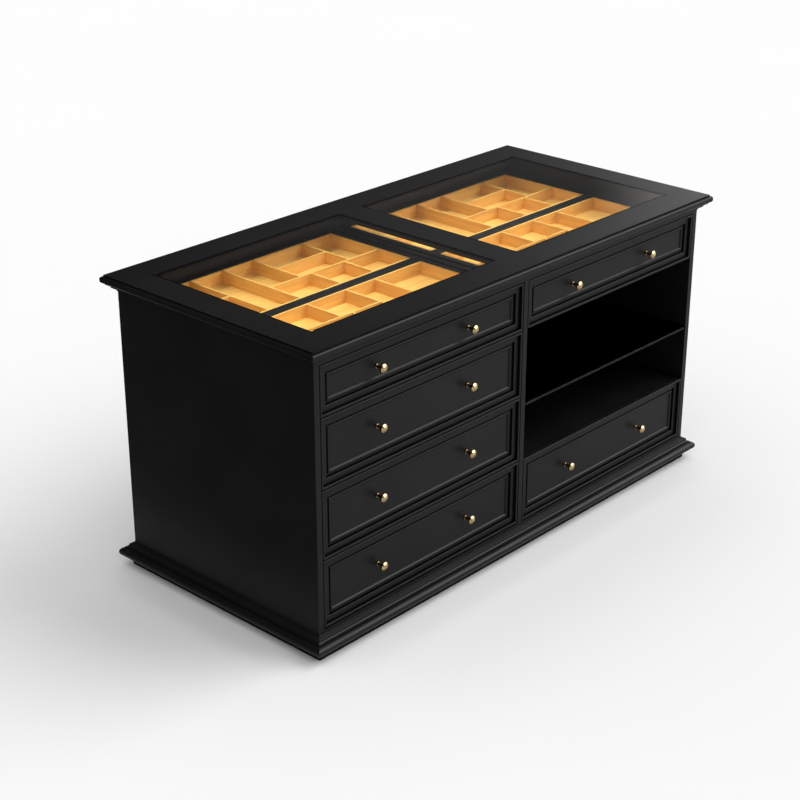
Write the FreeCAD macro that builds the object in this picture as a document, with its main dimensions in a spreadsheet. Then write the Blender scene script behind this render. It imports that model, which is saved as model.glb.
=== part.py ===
"""Closet island with drawers: six drawers, an open niche and a glazed top.

Millimetres, +Z up. The origin is on the floor under the middle of the island, the long side
runs along X and the drawer fronts face -Y. Every size below is a cell of the sheet "dims".
"""
import FreeCAD, Part

import math
import os
import re

import Sketcher
from FreeCAD import Placement, Rotation, Vector

DIMENSIONS = (
    # overall
    ("total_height", 900, "floor to the top face"),
    ("body_length", 1674, "outside of one side panel to the other"),
    ("body_depth", 760, "drawer faces to the back"),
    # glazed top
    ("top_board", 20, "thickness of the top frame"),
    ("nose_radius", 6.5, "rounding of the top frame's edge"),
    ("nose_drop", 4, "that edge below the rest of the top frame"),
    ("nose_land", 3.5, "flat under that edge, outside the crown moulding"),
    ("nose_step", 4.5, "step down from the top face to the rounding"),
    ("nose_tread", 1.5, "flat between that step and the rounding"),
    ("side_rail_width", 108, "top frame at the ends, from its nose to the ledge under the glass"),
    ("long_rail_width", 117, "top frame along the front and back, from nose to ledge"),
    ("centre_rail", 93, "rail between the two panes, at its top"),
    ("glass", 6, "thickness of the panes"),
    ("glass_ledge", 8, "ledge that carries each pane"),
    ("glass_play", 0.5, "play round each pane"),
    ("crown_toe", 1.5, "flat at the foot of the crown moulding"),
    ("crown_low_cove", 9.5, "radius of its lower cove"),
    ("crown_tread", 2, "width of the step between its coves"),
    ("crown_riser", 4, "height of that step"),
    ("crown_high_cove", 9, "radius of its upper cove"),
    ("crown_high_width", 11, "width of that cove"),
    ("crown_high_rise", 5.5, "height of that cove"),
    ("crown_brow", 8.5, "upright face between that cove and the top frame"),
    # case
    ("panel", 19, "side panels"),
    ("board", 18, "inner boards"),
    ("back_board", 10, "back panel"),
    ("case_bottom", 64, "underside of the case"),
    ("rail_height", 35, "rails that join the side panels at the top"),
    ("front_thick", 22, "drawer fronts"),
    ("gap", 3, "between one drawer front and the next"),
    ("side_gap", 2.5, "between a drawer front and the upright beside it"),
    ("top_front", 143.5, "height of the top drawer fronts; the three below share the rest"),
    ("plinth_proud", 7, "plinth beyond the body"),
    ("base_lap", 9, "base moulding up the body, above the underside of the case"),
    ("base_wash", 12, "width of the slope at its top"),
    ("base_wash_drop", 6.5, "height of that slope"),
    ("base_round", 1.3, "radius of the rounding below the slope"),
    ("base_round_width", 1, "width of that rounding"),
    ("base_round_drop", 1.3, "height of that rounding"),
    ("base_face", 2.2, "upright face below that rounding"),
    ("base_cove", 7, "radius of the cove below it"),
    ("base_tread", 1, "flat between that cove and the nose"),
    ("base_riser", 2, "upright step from that flat down to the nose"),
    ("base_nose", 14, "radius of the nose"),
    # drawer front profile, measured in from its edge
    ("lip_width", 7, "flat lip round the front"),
    ("lip_round", 1.5, "rounding of the front's arrises"),
    ("lip_depth", 8, "frame behind the lip"),
    ("frame_width", 18, "flat frame inside the lip"),
    ("groove_width", 9, "groove inside the frame"),
    ("groove_depth", 6, "groove below the frame"),
    ("bead_width", 5.5, "ledge inside the groove"),
    ("bead_drop", 3, "that ledge below the frame"),
    ("panel_recess", 3.5, "centre panel below that ledge, reached by a slope"),
    ("panel_slope", 45, "angle of that slope, in degrees"),
    # drawer box
    ("runner_gap", 13, "case to drawer side"),
    ("drawer_side", 18, "drawer sides"),
    ("drawer_back", 15, "drawer backs"),
    ("drawer_bottom", 8, "drawer bottoms"),
    ("back_clearance", 3, "drawer back to back panel"),
    ("front_clearance", 2, "inner boards behind the drawer fronts"),
    ("box_lift", 12, "bottom of a lower drawer's box above its front's edge"),
    ("box_drop", 29, "sides of a lower drawer below its front's upper edge"),
    ("bottom_lift", 10, "drawer bottom above the lower edge of its sides"),
    ("runner_lift", 26, "runner bars above the lower edge of the drawer sides"),
    ("rim_drop", 77, "top drawers' sides and trays below the island's top face"),
    ("groove_cut", 8, "runner groove into the drawer side"),
    ("runner_height", 16, "runner bars"),
    ("runner_play", 1, "runner end and side play"),
    ("runner_setback", 24, "runner behind the drawer front"),
    # knobs
    ("knob_spread", 363, "between the two knobs of a front"),
    ("knob_lift", 4.5, "knobs of the two middle drawers above the middle of their fronts"),
    ("knob_screw", 4, "diameter of the screw through the front"),
    ("screw_head", 6.5, "diameter of that screw's head, sunk into the front's back"),
    ("screw_head_thick", 2.5, "thickness of that head"),
    ("screw_grip", 9, "screw into the knob"),
    ("rosette", 14, "diameter of the base"),
    ("rosette_thick", 2, "edge of the base"),
    ("neck", 7.5, "diameter of the neck"),
    ("head", 27.5, "diameter of the head"),
    ("head_rim", 4, "radius of its rim"),
    ("head_level", 24.5, "widest part of the head in front of the panel"),
    ("head_crown", 7.5, "head in front of its widest part"),
    ("head_back", 5.5, "head behind its widest part"),
    # jewellery trays
    ("tray_board", 6, "tray walls and floors"),
    ("tray_height", 43, "height of a tray"),
    ("tray_play", 3, "tray to drawer side and back"),
    ("cross_rail", 37, "rail between the front and the rear tray"),
    ("cross_play", 1, "tray to that rail"),
    # tray walls, to their middle, from the tray's end or from its side at the cross rail
    ("rear_long", 175, "rear tray, end to the first wall across it"),
    ("rear_split", 158, "rear tray, rail side to the wall that halves the room before that wall"),
    ("rear_pair", 296, "rear tray, end to the second wall across it"),
    ("rear_row", 124, "rear tray, rail side to the wall along the rest of the tray"),
    ("rear_near_a", 455, "rear tray, end to the first wall on the rail side of that wall"),
    ("rear_near_b", 589, "rear tray, end to the second wall on the rail side of that wall"),
    ("rear_cross", 414, "rear tray, end to the first wall beyond that wall"),
    ("rear_end", 613, "rear tray, end to the second wall beyond that wall"),
    ("rear_shelf", 223, "rear tray, rail side to the short wall between those two"),
    ("front_long", 198, "front tray, as rear_long, from its other end"),
    ("front_split", 166, "front tray, as rear_split"),
    ("front_pair", 315, "front tray, as rear_pair"),
    ("front_row", 136, "front tray, as rear_row"),
    ("front_near_a", 467, "front tray, as rear_near_a"),
    ("front_near_b", 600, "front tray, as rear_near_b"),
    ("front_cross", 426, "front tray, as rear_cross"),
    ("front_end", 617, "front tray, as rear_end"),
    ("front_shelf", 230, "front tray, as rear_shelf"),
    # niche
    ("shelf_glass", 8, "glass shelf in the niche"),
    ("shelf_lift", 179.5, "top of that shelf above the niche's floor"),
    ("shelf_setback", 3, "shelf behind the drawer faces"),
    ("shelf_play", 1, "shelf to the panels"),
    ("pin", 5, "diameter of the shelf pins"),
    ("pin_reach", 9, "pin out of the panel"),
    ("pin_depth", 9, "pin in the panel"),
    ("pin_inset", 80, "pin from the shelf's front and back"),
)

doc = FreeCAD.newDocument("closet_island")
sheet = doc.addObject("Spreadsheet::Sheet", "dims")
for row, (alias, value, note) in enumerate(DIMENSIONS, start=1):
    sheet.set(f"A{row}", note)
    sheet.set(f"B{row}", str(value))
    sheet.setAlias(f"B{row}", alias)
doc.recompute()

ALIASES = {alias for alias, value, note in DIMENSIONS}
NODES = []


def bind(text):
    """Turn a formula in alias words into a FreeCAD expression on the sheet."""
    return re.sub(r"[a-z_]+", lambda m: "dims." + m[0] if m[0] in ALIASES else m[0], str(text))


def number(text):
    return float(sheet.evalExpression(bind(text)))


def node(obj, name):
    """Mark an object as a sub-part: its label names the file and the node."""
    obj.Label = name
    NODES.append(obj)
    return obj


def place(obj, x=0, y=0, z=0, turn=0):
    obj.Placement = Placement(Vector(0, 0, 0), Rotation(Vector(0, 0, 1), turn))
    for axis, text in (("x", x), ("y", y), ("z", z)):
        obj.setExpression(f".Placement.Base.{axis}", bind(text))


# ---------------------------------------------------------------- places, as formulas
FACE = "(body_depth / 2)"                              # drawer faces at y = -FACE
END = "(body_length / 2)"                              # outside of the side panels
INNER = "(body_length / 2 - panel)"                    # inside of the side panels
MID = "(board / 2)"                                    # faces of the centre divider
TOP_UNDER = "(total_height - top_board)"               # underside of the top frame
RAIL_UNDER = "(total_height - top_board - rail_height)"
FLOOR = "(case_bottom + board)"                        # top of the case's bottom board
BACK_FACE = "(body_depth / 2 - back_board)"            # front face of the back panel
TOP_ROW = f"({RAIL_UNDER} - gap - top_front)"          # lower edge of the top drawer fronts
PITCH = f"(({TOP_ROW} - {FLOOR} - gap) / 3)"           # from one lower front to the next
LOWER_FRONT = f"({PITCH} - gap)"
FRONT_LENGTH = f"({INNER} - {MID} - 2 * side_gap)"
COLUMN = f"(({INNER} + {MID}) / 2)"                    # middle of a column of drawers
BOX_BACK = f"({BACK_FACE} - back_clearance)"           # back of the drawer boxes
SIDE_FRONT = f"({FACE} - front_thick)"                 # back face of the fronts, at -Y
BOX_HALF = f"(({INNER} - {MID}) / 2 - runner_gap)"     # outside of a drawer box from its middle
ROOM_HALF = f"({BOX_HALF} - drawer_side)"              # inside of a drawer box
TRAY_HALF = f"({ROOM_HALF} - tray_play)"
CROWN_REACH = "(crown_toe + crown_low_cove + crown_tread + crown_high_width)"
TOP_OVERHANG = f"({CROWN_REACH} + nose_land + nose_radius)"
RIM = "(total_height - rim_drop)"                      # top of the top drawers' sides and trays
TRAY_FLOOR = f"({RIM} - tray_height)"


# ---------------------------------------------------------------- building blocks
PAST = 1                                               # how far a cut runs past what it cuts


def board(name, x, y, z):
    """A plain board between (low, high) pairs of formulas."""
    box = doc.addObject("Part::Box", name)
    place(box, x[0], y[0], z[0])
    for side, (low, high) in (("Length", x), ("Width", y), ("Height", z)):
        box.setExpression(side, bind(f"({high}) - ({low})"))
    return box


def cylinder(name, radius, length, x, y, z, axis):
    rod = doc.addObject("Part::Cylinder", name)
    place(rod, x, y, z)
    rod.Placement.Rotation = Rotation(Vector(0, 0, 1), axis)
    rod.setExpression("Radius", bind(radius))
    rod.setExpression("Height", bind(length))
    return rod


def cut(name, base, tool):
    result = doc.addObject("Part::Cut", name)
    result.Base = base
    result.Tool = tool
    return result


def group(name, members):
    """Separate solids that share one node."""
    result = doc.addObject("Part::Compound", name)
    result.Links = members
    return node(result, name)


def sketch_on(body, name, plane, depth="0"):
    """An empty sketch on one of the body's own origin planes, moved along its normal."""
    sketch = body.newObject("Sketcher::SketchObject", name)
    support = next(o for o in body.Origin.OriginFeatures if o.Role == plane)
    sketch.AttachmentSupport = (support, [""])
    sketch.MapMode = "FlatFace"
    sketch.setExpression(".AttachmentOffset.Base.z", bind(depth))
    return sketch


def pin_vertex(sketch, geometry, end, x, y):
    """Tie one end of a line or arc to formulas for its two coordinates."""
    for kind, text in (("DistanceX", x), ("DistanceY", y)):
        index = sketch.addConstraint(Sketcher.Constraint(kind, -1, 1, geometry, end, number(text)))
        sketch.setExpression(f"Constraints[{index}]", bind(text))


def outline(sketch, points):
    """Close a loop through (x, y) points; a third item is the radius of the arc to the next.

    A positive radius bulges to the right of the way round, a negative one to the left.
    """
    ends = []
    for here, there in zip(points, points[1:] + points[:1]):
        start = Vector(number(here[0]), number(here[1]), 0)
        stop = Vector(number(there[0]), number(there[1]), 0)
        if len(here) == 2:
            ends.append((sketch.addGeometry(Part.LineSegment(start, stop)), 1, 2))
            continue
        radius = abs(number(here[2]))
        right = number(here[2]) > 0
        chord = stop - start
        normal = Vector(chord.y, -chord.x, 0).normalize() * (1 if right else -1)
        drop = max(radius ** 2 - chord.Length ** 2 / 4, 0) ** 0.5
        centre = (start + stop) / 2 - normal * drop
        crest = centre + normal * radius
        index = sketch.addGeometry(Part.Arc(start, crest, stop))
        ends.append((index, 1, 2) if right else (index, 2, 1))
    for (geometry, first, last), (after, first_after, last_after) in zip(ends, ends[1:] + ends[:1]):
        sketch.addConstraint(Sketcher.Constraint("Coincident", geometry, last, after, first_after))
    for (geometry, first, last), point in zip(ends, points):
        pin_vertex(sketch, geometry, first, point[0], point[1])
        if len(point) == 3:
            radius = f"abs({point[2]})"
            index = sketch.addConstraint(Sketcher.Constraint("Radius", geometry, number(radius)))
            sketch.setExpression(f"Constraints[{index}]", bind(radius))


def rectangle(sketch, x, y):
    outline(sketch, [(x[0], y[0]), (x[1], y[0]), (x[1], y[1]), (x[0], y[1])])


def pad(body, sketch, length, both_ways=False, reverse=False):
    feature = body.newObject("PartDesign::Pad", body.Name + "_pad")
    feature.Profile = sketch
    feature.setExpression("Length", bind(length))
    feature.Midplane = both_ways
    feature.Reversed = reverse
    return feature


def pocket(body, sketch, depth=None, taper="0"):
    """Cut a pocket, through everything where no depth is given."""
    feature = body.newObject("PartDesign::Pocket", body.Name + "_pocket")
    feature.Profile = sketch
    if depth is None:
        feature.Type = "ThroughAll"
        feature.Midplane = True
    else:
        feature.setExpression("Length", bind(depth))
        feature.setExpression("TaperAngle", bind(taper))
    return feature


# ---------------------------------------------------------------- mitred runs round the body
def mitred_run(name, side, profile, reach, inset="0"):
    """One length of moulding along a side of the body, mitred at both ends.

    profile is a loop of (outward, height) points, outward from the body's face, in the order
    that takes it outward along its underside: a positive radius is then a rounding and a
    negative one a cove. reach is its furthest point outward and inset its furthest inward.
    """
    turn = {"front": 0, "right": 90, "back": 180, "left": -90}[side]
    half_run, offset = (END, FACE) if side in ("front", "back") else (FACE, END)
    body = doc.addObject("PartDesign::Body", name)
    section = sketch_on(body, name + "_section", "YZ_Plane")
    outline(section, [
        (f"-({offset} + ({outward}))", height, *(f"-({radius})" for radius in arc))
        for outward, height, *arc in profile
    ])
    pad(body, section, f"2 * ({half_run} + {reach})", both_ways=True)
    mitre = sketch_on(body, name + "_mitre", "XY_Plane")
    inner, outer = f"({inset} + {PAST})", f"({reach} + {PAST})"
    for sign in ("", "-"):
        outline(mitre, [
            (f"{sign}({half_run} - {inner})", f"-({offset} - {inner})"),
            (f"{sign}({half_run} + {outer})", f"-({offset} + {outer})"),
            (f"{sign}({half_run} + {outer})", f"-({offset} - {inner})"),
        ])
    pocket(body, mitre)
    place(body, turn=turn)
    return body


NOSE_UNDER = f"({TOP_UNDER} - nose_drop)"
NOSE_FLAT = f"({CROWN_REACH} + nose_land)"


def top_rail(side, width):
    """Top frame member with a rounded nose and a rebate for the glass on its inner edge."""
    inner = f"({width} - {TOP_OVERHANG})"
    profile = [
        (f"-{inner}", TOP_UNDER),
        (CROWN_REACH, TOP_UNDER),
        (CROWN_REACH, NOSE_UNDER),
        (NOSE_FLAT, NOSE_UNDER, "nose_radius"),
        (TOP_OVERHANG, f"{NOSE_UNDER} + nose_radius"),
        (TOP_OVERHANG, "total_height - nose_step - nose_radius", "nose_radius"),
        (NOSE_FLAT, "total_height - nose_step"),
        (f"{NOSE_FLAT} - nose_tread", "total_height - nose_step"),
        (f"{NOSE_FLAT} - nose_tread", "total_height"),
        (f"-({inner} - glass_ledge)", "total_height"),
        (f"-({inner} - glass_ledge)", "total_height - glass"),
        (f"-{inner}", "total_height - glass"),
    ]
    rail = mitred_run(f"top_rail_{side}", side, profile, TOP_OVERHANG, inner)
    return node(rail, f"top_rail_{side}")


top_rail("front", "long_rail_width")
top_rail("back", "long_rail_width")
top_rail("left", "side_rail_width")
top_rail("right", "side_rail_width")

# Inner edges of the rails' ledges: each pane reaches over its ledge by glass_ledge.
LONG_INSIDE = f"({FACE} + {TOP_OVERHANG} - long_rail_width)"
SIDE_INSIDE = f"({END} + {TOP_OVERHANG} - side_rail_width)"


def centre_rail():
    """Rail between the panes: its upper layer is narrower, which leaves a ledge each side."""
    body = doc.addObject("PartDesign::Body", "top_rail_centre")
    lower = sketch_on(body, "centre_lower", "XY_Plane", TOP_UNDER)
    wide = "(centre_rail / 2 + glass_ledge)"
    rectangle(lower, (f"-{wide}", wide), (f"-{LONG_INSIDE}", LONG_INSIDE))
    pad(body, lower, "top_board - glass")
    upper = sketch_on(body, "centre_upper", "XY_Plane", "total_height - glass")
    seat = f"({LONG_INSIDE} + glass_ledge)"
    rectangle(upper, ("-centre_rail / 2", "centre_rail / 2"), (f"-{seat}", seat))
    pad(body, upper, "glass")
    node(body, "top_rail_centre")


centre_rail()

for side, sign in (("left", "-"), ("right", "")):
    low = "centre_rail / 2 + glass_play"
    high = f"{SIDE_INSIDE} + glass_ledge - glass_play"
    span = (f"-({high})", f"-({low})") if sign else (low, high)
    edge = f"({LONG_INSIDE} + glass_ledge - glass_play)"
    pane = board(f"pane_{side}", span, (f"-{edge}", edge), ("total_height - glass", "total_height"))
    node(pane, f"glass_pane_{side}")

HIGH_COVE_TOP = f"({TOP_UNDER} - crown_brow)"
RISER_TOP = f"({HIGH_COVE_TOP} - crown_high_rise)"
LOW_COVE_TOP = f"({RISER_TOP} - crown_riser)"
CROWN_FOOT = f"({LOW_COVE_TOP} - crown_low_cove)"
CROWN_PROFILE = [
    ("0", TOP_UNDER),
    ("0", CROWN_FOOT),
    ("crown_toe", CROWN_FOOT, "-crown_low_cove"),
    ("crown_toe + crown_low_cove", LOW_COVE_TOP),
    ("crown_toe + crown_low_cove + crown_tread", LOW_COVE_TOP),
    ("crown_toe + crown_low_cove + crown_tread", RISER_TOP, "-crown_high_cove"),
    (CROWN_REACH, HIGH_COVE_TOP),
    (CROWN_REACH, TOP_UNDER),
]
SIDES = ("front", "right", "back", "left")
group("crown_moulding", [
    mitred_run(f"crown_{side}", side, CROWN_PROFILE, CROWN_REACH) for side in SIDES
])

BASE_TOP = "(case_bottom + base_lap)"
WASH_FOOT = f"({BASE_TOP} - base_wash_drop)"
ROUND_FOOT = f"({WASH_FOOT} - base_round_drop)"
COVE_TOP = f"({ROUND_FOOT} - base_face)"
TREAD = f"({COVE_TOP} - base_cove)"
NOSE_LEVEL = f"({TREAD} - base_riser - base_nose)"
COVE_OUT = "(base_wash + base_round_width)"
NOSE_ROOT = f"({COVE_OUT} + base_cove + base_tread)"
BASE_REACH = f"({NOSE_ROOT} + base_nose)"
BASE_PROFILE = [
    ("0", "case_bottom"),
    ("plinth_proud", "case_bottom"),
    ("plinth_proud", f"{NOSE_LEVEL} - base_nose"),
    (NOSE_ROOT, f"{NOSE_LEVEL} - base_nose", "base_nose"),
    (BASE_REACH, NOSE_LEVEL, "base_nose"),
    (NOSE_ROOT, f"{NOSE_LEVEL} + base_nose"),
    (NOSE_ROOT, TREAD),
    (f"{NOSE_ROOT} - base_tread", TREAD, "-base_cove"),
    (COVE_OUT, COVE_TOP),
    (COVE_OUT, ROUND_FOOT, "base_round"),
    ("base_wash", WASH_FOOT),
    ("0", BASE_TOP),
]
group("base_moulding", [
    mitred_run(f"base_{side}", side, BASE_PROFILE, BASE_REACH) for side in SIDES
])

PLINTH_PROFILE = [
    ("plinth_proud - board", "0"),
    ("plinth_proud", "0"),
    ("plinth_proud", "case_bottom"),
    ("plinth_proud - board", "case_bottom"),
]
group("plinth", [
    mitred_run(f"plinth_{side}", side, PLINTH_PROFILE, "plinth_proud", "board - plinth_proud")
    for side in SIDES
])

# ---------------------------------------------------------------- case
DEEP = (f"-{FACE}", FACE)
node(board("bottom_board", (f"-{INNER}", INNER), DEEP, ("case_bottom", FLOOR)), "case_bottom_board")
node(board("back_board", (f"-{INNER}", INNER), (BACK_FACE, FACE), (FLOOR, TOP_UNDER)), "back_panel")
node(board("rail_f", (f"-{INNER}", INNER), (f"-{FACE}", f"-{FACE} + board"), (RAIL_UNDER, TOP_UNDER)),
     "case_rail_front")
node(board("rail_b", (f"-{INNER}", INNER), (f"{BACK_FACE} - board", BACK_FACE), (RAIL_UNDER, TOP_UNDER)),
     "case_rail_back")

NICHE_FLOOR = f"({FLOOR} + gap + {LOWER_FRONT})"
SHELF_TOP = f"({NICHE_FLOOR} + shelf_lift)"
SHELF_UNDER = f"({SHELF_TOP} - shelf_glass)"
PIN_PLACES = (f"-{FACE} + shelf_setback + pin_inset", f"{BACK_FACE} - pin_inset")


def pin_holes(name, x, axis):
    """Blind holes for the shelf pins, as tools to cut from a panel."""
    holes = [
        cylinder(f"{name}_hole_{i}", "pin / 2", "pin_depth", x, y, f"{SHELF_UNDER} - pin / 2", axis)
        for i, y in enumerate(PIN_PLACES)
    ]
    both = doc.addObject("Part::MultiFuse", name + "_holes")
    both.Shapes = holes
    return both


left_panel = board("left_panel", (f"-{END}", f"-{INNER}"), DEEP, ("case_bottom", TOP_UNDER))
node(left_panel, "side_panel_left")
right_panel = board("right_panel", (INNER, END), DEEP, ("case_bottom", TOP_UNDER))
right_holes = pin_holes("right", INNER, Vector(1, 0, 0))
node(cut("right_drilled", right_panel, right_holes), "side_panel_right")

# The divider stops level with the trays' rims; only its front edge runs up to the case rail.
divider_low = board("divider_low", (f"-{MID}", MID), (f"-{FACE}", BACK_FACE), (FLOOR, RIM))
divider_nib = board("divider_nib", (f"-{MID}", MID), (f"-{FACE}", f"-{FACE} + board"),
                    (FLOOR, RAIL_UNDER))
divider_whole = doc.addObject("Part::MultiFuse", "divider_whole")
divider_whole.Shapes = [divider_low, divider_nib]
divider_holes = pin_holes("divider", MID, Vector(-1, 0, 0))
node(cut("divider_drilled", divider_whole, divider_holes), "centre_divider")

BEHIND_FRONTS = (f"-{SIDE_FRONT} + front_clearance", BACK_FACE)
node(board("niche_low", (MID, INNER), BEHIND_FRONTS, (f"{NICHE_FLOOR} - board", NICHE_FLOOR)),
     "niche_floor")
node(board("niche_high", (MID, INNER), BEHIND_FRONTS, (TOP_ROW, f"{TOP_ROW} + board")),
     "niche_ceiling")
node(board("shelf", (f"{MID} + shelf_play", f"{INNER} - shelf_play"),
           (f"-{FACE} + shelf_setback", f"{BACK_FACE} - shelf_play"), (SHELF_UNDER, SHELF_TOP)),
     "niche_glass_shelf")

pins = []
for end, (x, axis) in enumerate(((f"{MID} - pin_depth", Vector(1, 0, 0)),
                                 (f"{INNER} + pin_depth", Vector(-1, 0, 0)))):
    for depth, y in enumerate(PIN_PLACES):
        pins.append(cylinder(f"pin_{end}{depth}", "pin / 2", "pin_depth + pin_reach", x, y,
                             f"{SHELF_UNDER} - pin / 2", axis))
group("shelf_pins", pins)


# ---------------------------------------------------------------- drawers
FRAME_AT = "(lip_width + frame_width)"
BEAD_AT = f"({FRAME_AT} + groove_width)"
SLOPE_AT = f"({BEAD_AT} + bead_width)"
BEAD_FACE = "(lip_depth + bead_drop)"
PANEL_FACE = f"({BEAD_FACE} + panel_recess)"


def round_arrises(body, feature, height):
    """Round the lip's two edges, the frame's inner edge and the bead's outer edge."""
    half = number(FRONT_LENGTH) / 2
    arrises = {(number(inset), number(depth)) for inset, depth in (
        ("0", "0"), ("lip_width", "0"), (FRAME_AT, "lip_depth"), (BEAD_AT, BEAD_FACE))}

    def is_arris(edge):
        middle = (edge.Vertexes[0].Point + edge.Vertexes[-1].Point) / 2
        inset = min(half - abs(middle.x), middle.z, height - middle.z)
        return any(math.isclose(inset, i, abs_tol=1e-4) and math.isclose(middle.y, d, abs_tol=1e-4)
                   for i, d in arrises)

    rounding = body.newObject("PartDesign::Fillet", body.Name + "_round")
    names = [f"Edge{i}" for i, edge in enumerate(feature.Shape.Edges, start=1) if is_arris(edge)]
    rounding.Base = (feature, names)
    rounding.setExpression("Radius", bind("lip_round"))


def drawer_front(name, height, knob_level):
    """Front with a lip, a recessed frame, a groove, a bead and a sloped, sunk centre panel."""
    body = doc.addObject("PartDesign::Body", name)

    def inset_rectangle(sketch, inset):
        half = f"({FRONT_LENGTH} / 2 - {inset})"
        rectangle(sketch, (f"-{half}", half), (inset, f"{height} - {inset}"))

    blank = sketch_on(body, name + "_blank", "XZ_Plane")
    inset_rectangle(blank, "0")
    pad(body, blank, "front_thick", reverse=True)
    lip = sketch_on(body, name + "_lip", "XZ_Plane")
    inset_rectangle(lip, "lip_width")
    pocket(body, lip, "lip_depth")
    groove = sketch_on(body, name + "_groove", "XZ_Plane", "-lip_depth")
    inset_rectangle(groove, FRAME_AT)
    inset_rectangle(groove, BEAD_AT)
    pocket(body, groove, "groove_depth")
    bead = sketch_on(body, name + "_bead", "XZ_Plane", "-lip_depth")
    inset_rectangle(bead, BEAD_AT)
    pocket(body, bead, "bead_drop")
    panel = sketch_on(body, name + "_panel", "XZ_Plane", f"-{BEAD_FACE}")
    inset_rectangle(panel, SLOPE_AT)
    sunk = pocket(body, panel, "panel_recess", taper="-panel_slope")
    doc.recompute()
    round_arrises(body, sunk, number(height))

    def bore(suffix, start, radius, depth):
        """The same hole for both knobs, from a depth behind the lip."""
        holes = sketch_on(body, name + suffix, "XZ_Plane", f"-{start}")
        for index, sign in enumerate(("-", "")):
            x = f"{sign}knob_spread / 2"
            centre = Vector(number(x), number(knob_level), 0)
            holes.addGeometry(Part.Circle(centre, Vector(0, 0, 1), number(radius)))
            pin_vertex(holes, index, 3, x, knob_level)
            rule = holes.addConstraint(Sketcher.Constraint("Radius", index, number(radius)))
            holes.setExpression(f"Constraints[{rule}]", bind(radius))
        pocket(body, holes, depth)

    bore("_holes", PANEL_FACE, "knob_screw / 2", "front_thick")
    bore("_sinkings", "(front_thick - screw_head_thick)", "screw_head / 2", f"screw_head_thick + {PAST}")
    return body


BEHIND_PANEL = f"(front_thick - {PANEL_FACE})"         # inside of the front, from the panel
HEAD_SEAT = f"({BEHIND_PANEL} - screw_head_thick)"     # bottom of the sinking for a screw's head


def turned(name, points):
    """A body turned about its own Y axis from a loop of (radius, y) points."""
    body = doc.addObject("PartDesign::Body", name)
    half = sketch_on(body, name + "_half", "XY_Plane")
    outline(half, points)
    feature = body.newObject("PartDesign::Revolution", name + "_turned")
    feature.Profile = half
    feature.ReferenceAxis = (half, ["V_Axis"])
    feature.Angle = 360
    return body


def dome(rise):
    """Radius of a dome that rises so far above the head's widest part and runs smoothly into
    its rim, and where the two meet: out from the knob's axis, and up from that widest part."""
    core = "(head / 2 - head_rim)"
    radius = f"(({core} ^ 2 + {rise} ^ 2 - head_rim ^ 2) / (2 * ({rise} - head_rim)))"
    out = f"({core} * {radius} / ({radius} - head_rim))"
    up = f"(head_rim * ({radius} - {rise}) / ({radius} - head_rim))"
    return radius, out, up


def knob(name):
    """Knob with a flared base, a slim neck and a flattened ball, bored for its screw."""
    flare = "((rosette - neck) / 2)"
    crown, crown_out, crown_up = dome("head_crown")
    back, back_out, back_up = dome("head_back")
    neck_up = f"(head_back - {back} + sqrt({back} ^ 2 - neck ^ 2 / 4))"
    return turned(name, [
        ("0", "-screw_grip"),
        ("0", "-(head_level + head_crown)", crown),
        (crown_out, f"-(head_level + {crown_up})", "head_rim"),
        ("head / 2", "-head_level", "head_rim"),
        (back_out, f"-(head_level - {back_up})", back),
        ("neck / 2", f"-(head_level - {neck_up})"),
        ("neck / 2", f"-(rosette_thick + {flare})", f"-{flare}"),
        ("rosette / 2", "-rosette_thick"),
        ("rosette / 2", "0"),
        ("knob_screw / 2", "0"),
        ("knob_screw / 2", "-screw_grip"),
    ])


def knob_screw(name):
    """Screw from inside the drawer, its head sunk flush, through the front into the knob."""
    return turned(name, [
        ("0", "-screw_grip"),
        ("knob_screw / 2", "-screw_grip"),
        ("knob_screw / 2", HEAD_SEAT),
        ("screw_head / 2", HEAD_SEAT),
        ("screw_head / 2", BEHIND_PANEL),
        ("0", BEHIND_PANEL),
    ])


def drawer_side(name, outer, sign, low, high):
    """A drawer side, grooved along its outer face for the runner."""
    inner = f"{outer} - ({sign}1) * drawer_side"
    bed = f"{outer} - ({sign}1) * groove_cut"
    x = (inner, outer) if sign == "+" else (outer, inner)
    cut_x = (bed, f"{outer} + {PAST}") if sign == "+" else (f"{outer} - {PAST}", bed)
    plank = board(name + "_plank", x, (f"-{SIDE_FRONT}", BOX_BACK), (low, high))
    level = runner_level(low)
    channel_y = (f"-{SIDE_FRONT} + runner_setback - runner_play", f"{BOX_BACK} + {PAST}")
    channel_z = (f"{level} - runner_play", f"{level} + runner_height")
    return cut(name, plank, board(name + "_channel", cut_x, channel_y, channel_z))


def runner_level(low):
    """Underside of the runner bars of the drawer whose sides start at low."""
    return f"({low} + runner_lift)"


def runner_bars(name, column, low):
    """The two bars, fixed to the case, that fill the grooves of one drawer."""
    level = runner_level(low)
    y = (f"-{SIDE_FRONT} + runner_setback", f"{BOX_BACK} - runner_play")
    z = (level, f"{level} + runner_height")
    tongue = "(runner_gap + groove_cut - runner_play)"
    left = f"({column} - {BOX_HALF} - runner_gap)"
    right = f"({column} + {BOX_HALF} + runner_gap)"
    return [
        board(name + "_bar_a", (left, f"{left} + {tongue}"), y, z),
        board(name + "_bar_b", (f"{right} - {tongue}", right), y, z),
    ]


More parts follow.
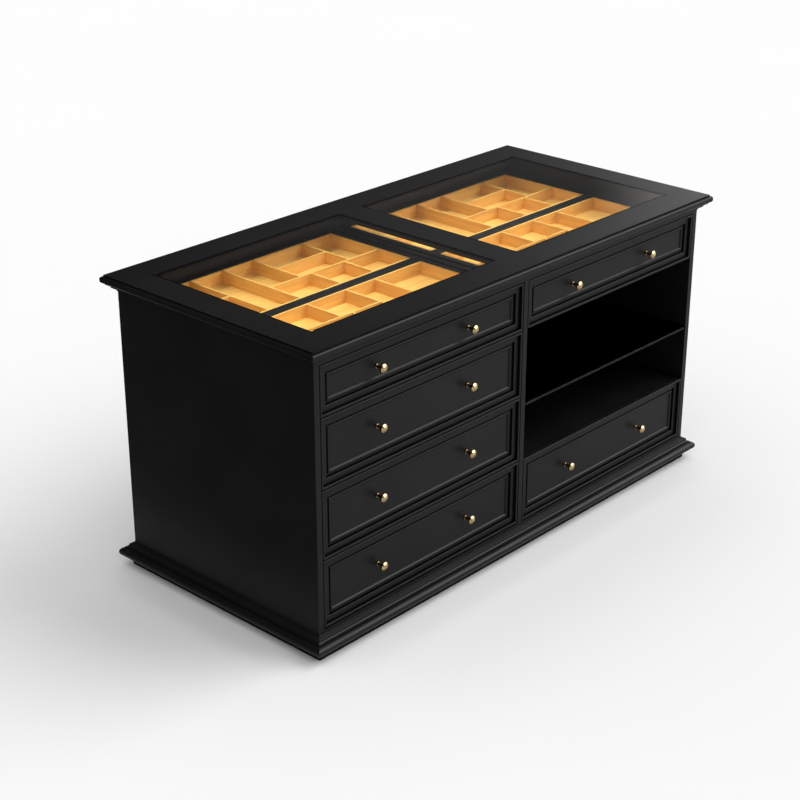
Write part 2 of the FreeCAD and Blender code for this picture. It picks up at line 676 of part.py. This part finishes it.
def drawer(name, side, front_low, front_height, box_low, box_high, lift="0"):
    """All the pieces of one drawer, and its runner bars."""
    column = f"(-{COLUMN})" if side == "left" else COLUMN
    knob_level = f"({front_height} / 2 + {lift})"
    front = drawer_front(name + "_front", front_height, knob_level)
    place(front, column, f"-{FACE}", front_low)
    node(front, name + "_front")
    knobs = []
    for hand, sign in (("a", "-"), ("b", "+")):
        for piece in (knob(f"{name}_knob_{hand}"), knob_screw(f"{name}_screw_{hand}")):
            place(piece, f"{column} {sign} knob_spread / 2", f"-{FACE} + {PANEL_FACE}",
                  f"{front_low} + {knob_level}")
            knobs.append(piece)
    group(name + "_knobs", knobs)
    room = (f"{column} - {ROOM_HALF}", f"{column} + {ROOM_HALF}")
    group(name + "_sides", [
        drawer_side(name + "_side_a", f"{column} - {BOX_HALF}", "-", box_low, box_high),
        drawer_side(name + "_side_b", f"{column} + {BOX_HALF}", "+", box_low, box_high),
    ])
    inside = f"{BOX_BACK} - drawer_back"
    node(board(name + "_rear", room, (inside, BOX_BACK), (box_low, box_high)), name + "_back")
    node(board(name + "_base", room, (f"-{SIDE_FRONT}", inside),
               (f"{box_low} + bottom_lift", f"{box_low} + bottom_lift + drawer_bottom")), name + "_bottom")
    return runner_bars(name, column, box_low)


def lower_drawer(name, side, level):
    low = f"({FLOOR} + gap + {level} * {PITCH})"
    box_low = f"({low} + box_lift)"
    box_high = f"({low} + {LOWER_FRONT} - box_drop)"
    return drawer(name, side, low, LOWER_FRONT, box_low, box_high, "knob_lift" if level else "0")


def top_drawer(name, side):
    box_low = f"({TRAY_FLOOR} - drawer_bottom - bottom_lift)"
    return drawer(name, side, TOP_ROW, "top_front", box_low, RIM)


runners = top_drawer("left_drawer_1", "left")
for number_down, level in ((2, 2), (3, 1), (4, 0)):
    runners += lower_drawer(f"left_drawer_{number_down}", "left", level)
runners += top_drawer("right_drawer_1", "right")
runners += lower_drawer("right_drawer_2", "right", 0)
group("drawer_runners", runners)


# ---------------------------------------------------------------- trays in the top drawers
WELL = f"({TRAY_FLOOR} + tray_board)"


def tray(name, side, row):
    """A jewellery tray: a floor, four walls and the dividers, each a board of its own.

    The front tray is the rear one turned half round, so its walls are measured from the
    other end and from the other face of the cross rail.
    """
    column = f"(-{COLUMN})" if side == "left" else COLUMN
    flip = -1 if row == "front" else 1
    near = "(cross_rail / 2 + cross_play)"
    length = f"(2 * {TRAY_HALF})"
    depth = f"({BOX_BACK} - drawer_back - tray_play - {near})"

    def across(a, b):
        """X pair from distances along the tray, measured from its long cell's end."""
        low, high = f"{column} + {flip} * ({a} - {TRAY_HALF})", f"{column} + {flip} * ({b} - {TRAY_HALF})"
        return (low, high) if flip == 1 else (high, low)

    def deep(a, b):
        """Y pair from distances measured from the cross rail."""
        low, high = f"{flip} * ({near} + {a})", f"{flip} * ({near} + {b})"
        return (low, high) if flip == 1 else (high, low)

    def wall_x(at, a, b):
        return across(f"{at} - tray_board / 2", f"{at} + tray_board / 2"), deep(a, b)

    def wall_y(at, a, b):
        return across(a, b), deep(f"{at} - tray_board / 2", f"{at} + tray_board / 2")

    half = "tray_board / 2"
    far, inner_far = f"({depth} - tray_board)", f"({length} - tray_board)"
    long_wall, pair, cross, end, near_a, near_b, line, shelf, split = (
        f"{row}_{word}"
        for word in ("long", "pair", "cross", "end", "near_a", "near_b", "row", "shelf", "split"))
    walls = [
        (across("0", length), deep("0", "tray_board")),
        (across("0", length), deep(far, depth)),
        (across("0", "tray_board"), deep("tray_board", far)),
        (across(inner_far, length), deep("tray_board", far)),
        wall_x(long_wall, "tray_board", far),
        wall_y(split, "tray_board", f"{long_wall} - {half}"),
        wall_x(pair, "tray_board", far),
        wall_y(line, f"{pair} + {half}", inner_far),
        wall_x(cross, f"{line} + {half}", far),
        wall_x(end, f"{line} + {half}", far),
        wall_y(shelf, f"{cross} + {half}", f"{end} - {half}"),
        wall_x(near_a, "tray_board", f"{line} - {half}"),
        wall_x(near_b, "tray_board", f"{line} - {half}"),
    ]
    boards = [board(name + "_floor", across("0", length), deep("0", depth), (TRAY_FLOOR, WELL))]
    for index, (x, y) in enumerate(walls):
        boards.append(board(f"{name}_wall_{index}", x, y, (WELL, RIM)))
    group(name, boards)


for side in ("left", "right"):
    for row in ("front", "rear"):
        tray(f"{side}_tray_{row}", side, row)
    column = f"(-{COLUMN})" if side == "left" else COLUMN
    rail = board(f"{side}_cross", (f"{column} - {ROOM_HALF}", f"{column} + {ROOM_HALF}"),
                 ("-cross_rail / 2", "cross_rail / 2"), (TRAY_FLOOR, RIM))
    node(rail, f"{side}_tray_cross_rail")


# ---------------------------------------------------------------- check and write
doc.recompute()
for obj in doc.Objects:
    if "Invalid" in obj.State or "Error" in obj.State:
        raise RuntimeError(f"{obj.Label} failed: {obj.State}")
os.makedirs("parts", exist_ok=True)
for obj in NODES:
    if obj.Shape.isNull() or not obj.Shape.isValid() or not obj.Shape.Solids:
        raise RuntimeError(f"{obj.Label} has no valid solid")
    obj.Shape.exportStep(f"parts/{obj.Label}.step")
print(len(NODES), "nodes written")
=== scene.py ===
import math

import bmesh
import bpy
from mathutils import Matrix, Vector

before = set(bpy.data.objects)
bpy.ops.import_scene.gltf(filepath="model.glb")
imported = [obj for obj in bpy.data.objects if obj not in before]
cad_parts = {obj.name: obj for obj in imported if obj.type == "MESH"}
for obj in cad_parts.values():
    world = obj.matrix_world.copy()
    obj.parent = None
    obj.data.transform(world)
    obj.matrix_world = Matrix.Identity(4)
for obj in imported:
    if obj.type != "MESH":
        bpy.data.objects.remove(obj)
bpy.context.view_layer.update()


# ---------------------------------------------------------------- node graphs


class Graph:
    """A material's or the world's node tree, built node by node."""

    def __init__(self, owner):
        owner.use_nodes = True
        self.owner = owner
        self.tree = owner.node_tree
        self.tree.nodes.clear()

    def add(self, kind, inputs=(), **settings):
        """A new node. inputs holds (socket name or number, value or output socket) pairs."""
        made = self.tree.nodes.new("ShaderNode" + kind)
        for name, value in settings.items():
            setattr(made, name, value)
        for socket, value in inputs:
            if isinstance(value, bpy.types.NodeSocket):
                self.tree.links.new(value, made.inputs[socket])
            else:
                made.inputs[socket].default_value = value
        return made

    def math(self, operation, first, second=0.0, third=0.0):
        inputs = ((0, first), (1, second), (2, third))
        return self.add("Math", inputs, operation=operation).outputs[0]

    def ramp(self, value, low, high, bottom=0.0, top=1.0):
        """value from low..high mapped smoothly onto bottom..top."""
        inputs = (("Value", value), ("From Min", low), ("From Max", high),
                  ("To Min", bottom), ("To Max", top))
        return self.add("MapRange", inputs, interpolation_type="SMOOTHSTEP").outputs[0]

    def blend(self, share, first, second):
        """Two colours mixed by share."""
        inputs = ((0, share), (6, first), (7, second))
        return self.add("Mix", inputs, data_type="RGBA").outputs[2]

    def place(self, scale=(1, 1, 1)):
        """The object's own coordinates, in metres, stretched."""
        here = self.add("TexCoord").outputs["Object"]
        return self.add("Mapping", (("Vector", here), ("Scale", scale))).outputs[0]

    def split(self, output):
        """The three parts of one of the texture coordinates, such as Object or Normal."""
        return self.add("SeparateXYZ", ((0, self.add("TexCoord").outputs[output]),)).outputs

    def noise(self, place, scale, detail=2.0, rough=0.5, warp=0.0):
        inputs = (("Vector", place), ("Scale", scale), ("Detail", detail),
                  ("Roughness", rough), ("Distortion", warp))
        return self.add("TexNoise", inputs).outputs["Fac"]

    def bump(self, height, strength, distance, under=None):
        inputs = [("Height", height), ("Strength", strength), ("Distance", distance)]
        if under is not None:
            inputs.append(("Normal", under))
        return self.add("Bump", inputs).outputs[0]

    def finish(self, shader):
        self.add("OutputMaterial", (("Surface", shader),))
        return self.owner


def material(name):
    return Graph(bpy.data.materials.new(name))


# ---------------------------------------------------------------- finishes


PAINTED_SHADE_REACH = 0.016  # metres: how near another face has to be for painted shade to darken the paint


def lacquer():
    """Satin black paint sprayed over board.

    It has faint orange peel and slow changes of sheen. In grooves and gaps it carries painted shade: its
    colour darkens and its mirroring fades where other faces are near.
    """
    g = material("lacquer_satin_black")
    here = g.place()
    cloud = g.noise(here, 5.0, 3.0)
    fine = g.noise(here, 260.0, 2.0)
    grain = g.noise(g.place((6, 6, 160)), 1.0, 4.0, 0.6)
    # painted shade: where other faces are near, as in grooves, gaps and corners, the colour darkens and the
    # mirroring fades
    occlusion_for_painted_shade = g.add("AmbientOcclusion", (("Distance", PAINTED_SHADE_REACH),), samples=8).outputs["AO"]
    outside_painted_shade = g.ramp(occlusion_for_painted_shade, 0.45, 0.9)
    colour = g.blend(g.ramp(cloud, 0.3, 0.7), (0.0066, 0.0066, 0.0068, 1), (0.0086, 0.0084, 0.0082, 1))
    # painted shade colour for the grooves and gaps
    colour = g.blend(outside_painted_shade, (0.0015, 0.0015, 0.0015, 1), colour)
    rough = g.math("MULTIPLY_ADD", cloud, 0.10, 0.31)
    rough = g.math("MULTIPLY_ADD", fine, 0.04, rough)
    peel = g.bump(fine, 0.10, 0.0004)
    peel = g.bump(grain, 0.05, 0.0003, peel)
    shader = g.add("BsdfPrincipled", (
        ("Base Color", colour), ("Roughness", rough), ("Normal", peel),
        ("Specular IOR Level", g.math("MULTIPLY", outside_painted_shade, 0.10))))
    return g.finish(shader.outputs[0])


def tray_wood():
    """Honey-coloured varnished wood with a fine straight grain along each board."""
    g = material("wood_honey")
    across = g.math("GREATER_THAN", g.math("ABSOLUTE", g.split("Normal")[0]), 0.7)
    along_x = g.place((5, 90, 90))
    along_y = g.place((90, 5, 90))
    spot = g.add("Mix", ((0, across), (4, along_x), (5, along_y)), data_type="VECTOR").outputs[1]
    grain = g.noise(spot, 1.0, 4.0, 0.6, 0.3)
    fleck = g.noise(spot, 4.0, 3.0, 0.6)
    cloud = g.noise(g.place(), 9.0, 2.0)
    colour = g.blend(g.ramp(grain, 0.3, 0.7), (0.80, 0.44, 0.10, 1), (0.93, 0.57, 0.15, 1))
    colour = g.blend(g.ramp(fleck, 0.55, 0.8, 0.0, 0.35), colour, (0.62, 0.29, 0.05, 1))
    colour = g.blend(g.ramp(cloud, 0.35, 0.7, 0.0, 0.25), colour, (0.90, 0.50, 0.11, 1))
    rough = g.math("MULTIPLY_ADD", grain, 0.12, 0.34)
    shader = g.add("BsdfPrincipled", (
        ("Base Color", colour), ("Roughness", rough), ("Normal", g.bump(grain, 0.15, 0.0004)),
        ("Specular IOR Level", 0.4)))
    return g.finish(shader.outputs[0])


def runner_wood():
    """Waxed beech: pale brown with short dark flecks along the bar."""
    g = material("wood_beech")
    spot = g.place((90, 5, 90))
    grain = g.noise(spot, 1.0, 4.0, 0.6, 0.2)
    fleck = g.noise(g.place((600, 60, 600)), 1.0, 2.0)
    colour = g.blend(g.ramp(grain, 0.3, 0.7), (0.32, 0.17, 0.075, 1), (0.47, 0.28, 0.14, 1))
    colour = g.blend(g.ramp(fleck, 0.62, 0.72, 0.0, 0.5), colour, (0.16, 0.07, 0.03, 1))
    shader = g.add("BsdfPrincipled", (
        ("Base Color", colour), ("Roughness", g.math("MULTIPLY_ADD", grain, 0.15, 0.42)),
        ("Normal", g.bump(grain, 0.2, 0.0004))))
    return g.finish(shader.outputs[0])


KNOB_RIM = -0.390  # y where a knob's head is widest


def brass():
    """Aged brass in brighter and darker random patches, dark brown at the rim, underneath and behind the
    head: patina in the hollow behind the head, and painted shade and painted reflection on the rim and
    underside.
    """
    g = material("brass_aged")
    here = g.place()
    patch = g.noise(here, 90.0, 4.0, 0.6, 0.4)
    scuff = g.noise(here, 900.0, 2.0)
    facing = g.split("Normal")
    # painted shade and painted reflection: the sideways-facing rim and the underside turn dark brown;
    # behind the widest part of the head the brown is partly patina in the hollow and partly painted shade
    patina_and_painted_shade = g.ramp(g.split("Object")[1], KNOB_RIM - 0.0035, KNOB_RIM, 0.0, 0.85)
    patina_and_painted_shade = g.math("MAXIMUM", patina_and_painted_shade, g.ramp(facing[1], -0.8, -0.45, 0.0, 0.85))
    patina_and_painted_shade = g.math("MAXIMUM", patina_and_painted_shade, g.ramp(facing[2], -0.5, 0.1, 0.7, 0.0))
    colour = g.blend(g.ramp(patch, 0.35, 0.75), (0.50, 0.38, 0.19, 1), (0.33, 0.23, 0.10, 1))
    # dark brown of patina, painted shade and painted reflection
    colour = g.blend(patina_and_painted_shade, colour, (0.10, 0.055, 0.022, 1))
    rough = g.math("MULTIPLY_ADD", patch, 0.14, 0.12)
    rough = g.math("MULTIPLY_ADD", scuff, 0.08, rough)
    shader = g.add("BsdfPrincipled", (
        ("Base Color", colour), ("Roughness", rough), ("Metallic", 1.0),
        ("Normal", g.bump(scuff, 0.06, 0.0002))))
    return g.finish(shader.outputs[0])


def steel():
    """Nickel-plated steel, turned: fine rings and small scuffs."""
    g = material("steel_nickel")
    scuff = g.noise(g.place((40, 900, 900)), 1.0, 2.0)
    colour = g.blend(scuff, (0.46, 0.45, 0.43, 1), (0.62, 0.61, 0.59, 1))
    shader = g.add("BsdfPrincipled", (
        ("Base Color", colour), ("Roughness", g.math("MULTIPLY_ADD", scuff, 0.15, 0.25)), ("Metallic", 1.0),
        ("Normal", g.bump(scuff, 0.1, 0.0001))))
    return g.finish(shader.outputs[0])


GLASS_IOR = 1.5
COATED = 0.65  # share of a pane's mirroring that its coating takes away


def glass(name, tint, haze):
    """A coated pane: it bends light, mirrors a little, and lets lighting rays straight through."""
    g = material(name)
    smear = g.noise(g.place((3, 9, 9)), 1.0, 3.0)
    rough = g.ramp(smear, 0.5, 0.9, 0.0, haze)
    plain = g.add("BsdfPrincipled", (
        ("Base Color", tint), ("Roughness", rough), ("IOR", GLASS_IOR), ("Transmission Weight", 1.0)))
    coated = g.add("BsdfRefraction", (("Color", tint), ("Roughness", rough), ("IOR", GLASS_IOR)))
    pane = g.add("MixShader", ((0, COATED), (1, plain.outputs[0]), (2, coated.outputs[0])))
    clear = g.add("BsdfTransparent", (("Color", tint),))
    ray = g.add("LightPath").outputs
    lighting = g.math("MAXIMUM", ray["Is Shadow Ray"], ray["Is Diffuse Ray"])
    both = g.add("MixShader", ((0, lighting), (1, pane.outputs[0]), (2, clear.outputs[0])))
    return g.finish(both.outputs[0])


FINISHES = {
    "black_lacquer": lacquer(),
    "tray_wood": tray_wood(),
    "runner_wood": runner_wood(),
    "aged_brass": brass(),
    "clear_glass": glass("glass_clear", (0.98, 0.99, 0.985, 1), 0.02),
    "bronze_glass": glass("glass_bronze", (0.30, 0.17, 0.10, 1), 0.03),
    "steel": steel(),
}
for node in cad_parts.values():
    for place in node.material_slots:
        place.material = FINISHES[place.material.name]


# ---------------------------------------------------------------- studio


def floor():
    """A white floor, wide enough to fill every view down to a low one."""
    mesh = bpy.data.meshes.new("studio_floor")
    built = bmesh.new()
    bmesh.ops.create_circle(built, cap_ends=True, segments=96, radius=120.0)
    built.to_mesh(mesh)
    built.free()
    disc = bpy.data.objects.new("studio_floor", mesh)
    bpy.context.scene.collection.objects.link(disc)
    g = material("floor_white")
    tone = g.noise(g.place(), 0.7, 2.0)
    colour = g.blend(tone, (0.93, 0.93, 0.93, 1), (0.95, 0.95, 0.95, 1))
    shader = g.add("BsdfPrincipled", (
        ("Base Color", colour), ("Roughness", 0.9), ("Specular IOR Level", 0.0)))
    mesh.materials.append(g.finish(shader.outputs[0]))


def sky():
    """Even pale light from all round."""
    world = bpy.data.worlds.new("studio_air")
    bpy.context.scene.world = world
    g = Graph(world)
    ray = g.add("LightPath").outputs
    seen = g.math("MAXIMUM", ray["Is Camera Ray"], ray["Is Glossy Ray"])
    seen = g.math("MAXIMUM", seen, ray["Is Transmission Ray"])
    lit = g.add("Background", (("Color", (1, 1, 1, 1)), ("Strength", 0.55)))
    white = g.add("Background", (("Color", (1, 1, 1, 1)), ("Strength", 1.0)))
    both = g.add("MixShader", ((0, seen), (1, lit.outputs[0]), (2, white.outputs[0])))
    g.add("OutputWorld", (("Surface", both.outputs[0]),))


def flag(name, build, cloth):
    """Cloth out of the camera's sight, so that glass and paint don't mirror white all round."""
    mesh = bpy.data.meshes.new(name)
    built = bmesh.new()
    build(built)
    built.to_mesh(mesh)
    built.free()
    made = bpy.data.objects.new(name, mesh)
    bpy.context.scene.collection.objects.link(made)
    mesh.materials.append(cloth)
    made.visible_camera = made.visible_diffuse = made.visible_shadow = False


def black_cloth():
    g = material("cloth_black")
    return g.finish(g.add("BsdfDiffuse", (("Color", (0.03, 0.03, 0.03, 1)),)).outputs[0])


TENT = 40.0  # radius of the tent
GLOW = 3.0   # strength of its bright side


def lit_cloth():
    """The tent's cloth: nearly dark, with a slow glow that rises steeply towards the right."""
    g = material("cloth_lit")
    place = g.split("Object")
    azimuth = g.math("DEGREES", g.math("ARCTAN2", place[0], place[1]))
    rise = g.math("DIVIDE", place[2], TENT)
    faint = g.ramp(azimuth, 34, 52, 0.02, 0.15)
    bright = g.ramp(azimuth, 54, 63, 0.0, GLOW)
    ends = g.math("MULTIPLY", g.ramp(azimuth, 85, 110, 1.0, 0.0), g.ramp(rise, 0.35, 0.65, 1.0, 0.0))
    glow = g.math("ADD", faint, bright)
    glow = g.math("ADD", g.math("MULTIPLY", glow, ends), 0.02)
    made = g.finish(g.add("Emission", (("Strength", glow),)).outputs[0])
    made.cycles.emission_sampling = "NONE"
    return made


def tent(built):
    """A round tent over the studio, open at the top."""
    high, steps, rings = 60.0, 72, 8
    rows = []
    for ring in range(rings + 1):
        rise = math.radians(high * ring / rings)
        out, up = TENT * math.cos(rise), TENT * math.sin(rise)
        turns = [2 * math.pi * step / steps for step in range(steps)]
        rows.append([built.verts.new((out * math.sin(a), out * math.cos(a), up)) for a in turns])
    for lower, upper in zip(rows, rows[1:]):
        for step in range(steps):
            after = (step + 1) % steps
            built.faces.new((lower[step], lower[after], upper[after], upper[step]))


def screen(built):
    """An upright screen beside the shaded end of the case, its lower edge drawn along the floor."""
    x, near, far, tall = -1.35, -1.2, 3.5, 2.0
    toe, lift = -1.05, 0.004
    section = ((toe, lift), (x, lift), (x, tall))
    rows = [[built.verts.new((out, y, up)) for y in (near, far)] for out, up in section]
    for lower, upper in zip(rows, rows[1:]):
        built.faces.new((lower[0], lower[1], upper[1], upper[0]))


TOP = Vector((0, 0, 0.9))  # middle of the island's top face


def bearing(azimuth, rise, distance):
    """A place that far from the case's top, azimuth degrees from +Y towards +X and rise degrees up."""
    a, e = math.radians(azimuth), math.radians(rise)
    flat = distance * math.cos(e)
    return TOP + Vector((flat * math.sin(a), flat * math.cos(a), distance * math.sin(e)))


def lamp(name, kind, place, power, lights=True, mirrored=True, **settings):
    """A lamp that points at the island's top. One that lights nothing only shows in shiny surfaces."""
    data = bpy.data.lights.new(name, kind)
    data.energy = power
    for key, value in settings.items():
        setattr(data, key, value)
    made = bpy.data.objects.new(name, data)
    bpy.context.scene.collection.objects.link(made)
    made.location = place
    made.rotation_euler = (TOP - Vector(place)).to_track_quat("-Z", "Y").to_euler()
    made.visible_camera = False
    made.visible_diffuse = lights
    made.visible_glossy = mirrored


def camera():
    """A camera that looks down by pitch, turned by heading away from +Y, both in radians."""
    pitch, heading = 0.4232, 0.8247
    lens = bpy.data.cameras.new("photo_view")
    lens.lens = 79.408
    lens.sensor_width = 36.0
    made = bpy.data.objects.new("photo_view", lens)
    bpy.context.scene.collection.objects.link(made)
    made.location = (-3.635993, -3.258790, 2.563636)
    made.rotation_euler = (math.pi / 2 - pitch, 0.0, -heading)
    bpy.context.scene.camera = made


floor()
sky()
camera()
flag("studio_tent", tent, lit_cloth())
flag("studio_screen", screen, black_cloth())
lamp("key", "SUN", bearing(125, 40, 10), 1.45, angle=math.radians(50))
lamp("overhead", "SUN", bearing(170, 80, 10), 0.65, angle=math.radians(90))
lamp("softbox", "AREA", bearing(142, 27, 20), 9000.0, lights=False,
     shape="RECTANGLE", size=20.0, size_y=17.0)
lamp("over_trays", "AREA", (0, 0, 2.4), 2.0, mirrored=False,
     shape="RECTANGLE", size=1.5, size_y=0.58, spread=math.radians(20))
bpy.context.scene.view_settings.view_transform = "Standard"
